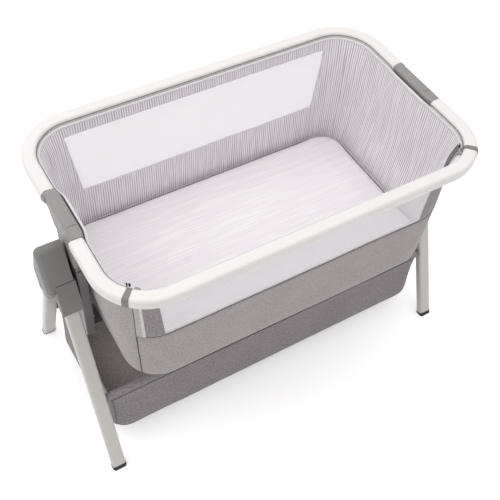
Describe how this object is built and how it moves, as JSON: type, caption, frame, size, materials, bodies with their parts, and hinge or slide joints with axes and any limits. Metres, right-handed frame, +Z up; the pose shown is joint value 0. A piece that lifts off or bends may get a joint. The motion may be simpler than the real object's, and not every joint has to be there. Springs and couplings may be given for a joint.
{
  "type": "bedside crib",
  "caption": "Bedside crib: cloth tub with mesh windows on a rounded rail, a side that folds down, posts sliding in A-shaped leg hubs, a mattress and a cloth storage basket.",
  "frame": {"origin": "on the floor under the middle of the crib", "axes": "+X along the long side, +Y from the lowering side to the fixed side, +Z up"},
  "size_m": [1.056, 0.576, 0.707],
  "materials": {
    "rail_paint": "satin",
    "leg_paint": "satin",
    "post_paint": "dark satin coat",
    "grey_plastic": "fine matt",
    "latch_plastic": "matt",
    "foot_rubber": "matt",
    "steel": "plain",
    "board": "plain",
    "tub_cloth": "woven melange",
    "panel_cloth": "woven melange",
    "basket_cloth": "woven melange",
    "lining": "fine stripe",
    "net": "fine net",
    "zip_cloth": "woven",
    "mattress_cover": "fine stripe"
  },
  "bodies": {
    "stand": {"leg_front_left": "leg_paint", "foot_front_left": "foot_rubber", "leg_rear_left": "leg_paint", "foot_rear_left": "foot_rubber", "hub_left": "grey_plastic", "hub_cap_left": "grey_plastic", "guide_block_left": "grey_plastic", "leg_front_right": "leg_paint", "foot_front_right": "foot_rubber", "leg_rear_right": "leg_paint", "foot_rear_right": "foot_rubber", "hub_right": "grey_plastic", "hub_cap_right": "grey_plastic", "guide_block_right": "grey_plastic", "basket_rail_front": "leg_paint", "basket_rail_rear": "leg_paint", "rail_cups": "grey_plastic", "basket": "basket_cloth", "basket_board": "basket_cloth", "leg_screws": "steel"},
    "crib": {"rim_rear": "rail_paint", "rim_corner_left": "rail_paint", "corner_plug_left": "grey_plastic", "bridge_left": "grey_plastic", "bridge_nose_left": "grey_plastic", "post_left": "post_paint", "post_cap_left": "grey_plastic", "base_bracket_left": "post_paint", "zip_tape_left": "zip_cloth", "rim_corner_right": "rail_paint", "corner_plug_right": "grey_plastic", "bridge_right": "grey_plastic", "bridge_nose_right": "grey_plastic", "post_right": "post_paint", "post_cap_right": "grey_plastic", "base_bracket_right": "post_paint", "zip_tape_right": "zip_cloth", "post_screws": "steel", "bracket_screws": "steel", "base_frame": "leg_paint", "base_board": "board", "tub_shell": "tub_cloth", "liner": "lining", "mesh_rear": "net", "mattress": "mattress_cover"},
    "drop_side": {"rim_front": "rail_paint", "rail_collar_left": "grey_plastic", "rail_plug_left": "grey_plastic", "rail_collar_right": "grey_plastic", "rail_plug_right": "grey_plastic", "front_panel": "panel_cloth", "mesh_front": "net"},
    "height_button_left": {"height_button_left": "grey_plastic"},
    "lock_pin_left": {"lock_pin_left": "steel"},
    "rail_latch_left": {"rail_latch_left": "latch_plastic"},
    "height_button_right": {"height_button_right": "grey_plastic"},
    "lock_pin_right": {"lock_pin_right": "steel"},
    "rail_latch_right": {"rail_latch_right": "latch_plastic"}
  },
  "joints": [
    {"name": "crib_height", "type": "slide", "parent": "stand", "child": "crib", "axis": [0, 0, 1], "range_m": [-0.075, 0.075]},
    {"name": "drop_side", "type": "hinge", "parent": "crib", "child": "drop_side", "pos_m": [0, -0.238, 0.502], "axis": [1, 0, 0], "range_deg": [0, 165]},
    {"name": "height_button_left", "type": "slide", "parent": "stand", "child": "height_button_left", "axis": [-1, 0, 0], "range_m": [0, 0.005]},
    {"name": "lock_pin_left", "type": "slide", "parent": "stand", "child": "lock_pin_left", "axis": [1, 0, 0], "range_m": [0, 0.005]},
    {"name": "rail_latch_left", "type": "slide", "parent": "drop_side", "child": "rail_latch_left", "axis": [-0.6691, 0.7431, 0], "range_m": [0, 0.006]},
    {"name": "height_button_right", "type": "slide", "parent": "stand", "child": "height_button_right", "axis": [1, 0, 0], "range_m": [0, 0.005]},
    {"name": "lock_pin_right", "type": "slide", "parent": "stand", "child": "lock_pin_right", "axis": [-1, 0, 0], "range_m": [0, 0.005]},
    {"name": "rail_latch_right", "type": "slide", "parent": "drop_side", "child": "rail_latch_right", "axis": [0.6691, 0.7431, 0], "range_m": [0, 0.006]}
  ],
  "couplings": [
    {"joint": "lock_pin_left", "follows": "height_button_left", "ratio": 1},
    {"joint": "lock_pin_right", "follows": "height_button_right", "ratio": 1}
  ]
}
